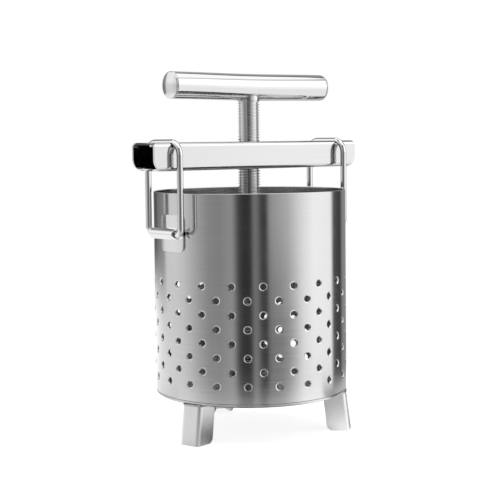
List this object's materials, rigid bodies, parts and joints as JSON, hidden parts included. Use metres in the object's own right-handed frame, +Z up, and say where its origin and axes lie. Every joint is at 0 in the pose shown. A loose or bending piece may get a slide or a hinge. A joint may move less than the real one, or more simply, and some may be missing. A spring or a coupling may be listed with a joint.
{
  "type": "cheese press",
  "caption": "Stainless cheese press: perforated barrel on short legs, crossbar held by hinged wire bails, and a T-handled screw that drives a round pressing plate.",
  "frame": {"origin": "on the barrel's axis, on the surface that the legs stand on", "axes": "+Z up along the screw, +X along the crossbar towards its far end, +Y across the crossbar"},
  "size_m": [0.1864, 0.1425, 0.2604],
  "materials": {
    "barrel_steel": "polished sheet with fine brush lines",
    "leg_steel": "satin",
    "strap_steel": "polished",
    "bar_steel": "polished",
    "wire_steel": "polished",
    "thread_steel": "machined",
    "plate_steel": "satin",
    "fastener_steel": "machined",
    "handle_steel": "mirror polished"
  },
  "bodies": {
    "root": {"barrel_shell": "barrel_steel", "barrel_floor": "barrel_steel", "leg_left": "leg_steel", "leg_right": "leg_steel", "leg_back": "leg_steel", "bail_strap_left": "strap_steel", "bail_strap_right": "strap_steel", "crossbar": "bar_steel", "threaded_bush": "thread_steel"},
    "bail_left": {"bail_left": "wire_steel"},
    "bail_right": {"bail_right": "wire_steel"},
    "plate": {"press_plate": "plate_steel", "plate_boss": "plate_steel", "thrust_washer": "plate_steel", "retaining_plate": "plate_steel", "retaining_screw_1": "fastener_steel", "retaining_screw_2": "fastener_steel", "retaining_screw_3": "fastener_steel"},
    "screw": {"press_screw": "thread_steel", "handle_tube": "handle_steel", "handle_cap_near": "handle_steel", "handle_cap_far": "handle_steel"}
  },
  "joints": [
    {"name": "plate_travel", "type": "slide", "parent": "root", "child": "plate", "axis": [0, 0, 1], "range_m": [0, 0.132]},
    {"name": "screw_turn", "type": "hinge", "parent": "plate", "child": "screw", "pos_m": [0, 0, 0.175], "axis": [0, 0, 1], "range_deg": [0, 23760]},
    {"name": "bail_left_swing", "type": "hinge", "parent": "root", "child": "bail_left", "pos_m": [-0.0761, 0, 0.1479], "axis": [0, 1, 0], "range_deg": [-0.7, 0.7]},
    {"name": "bail_right_swing", "type": "hinge", "parent": "root", "child": "bail_right", "pos_m": [0.0761, 0, 0.1479], "axis": [0, 1, 0], "range_deg": [-0.7, 0.7]}
  ],
  "couplings": [
    {"joint": "plate_travel", "follows": "screw_turn", "m_per_rad": 0.0003183}
  ]
}
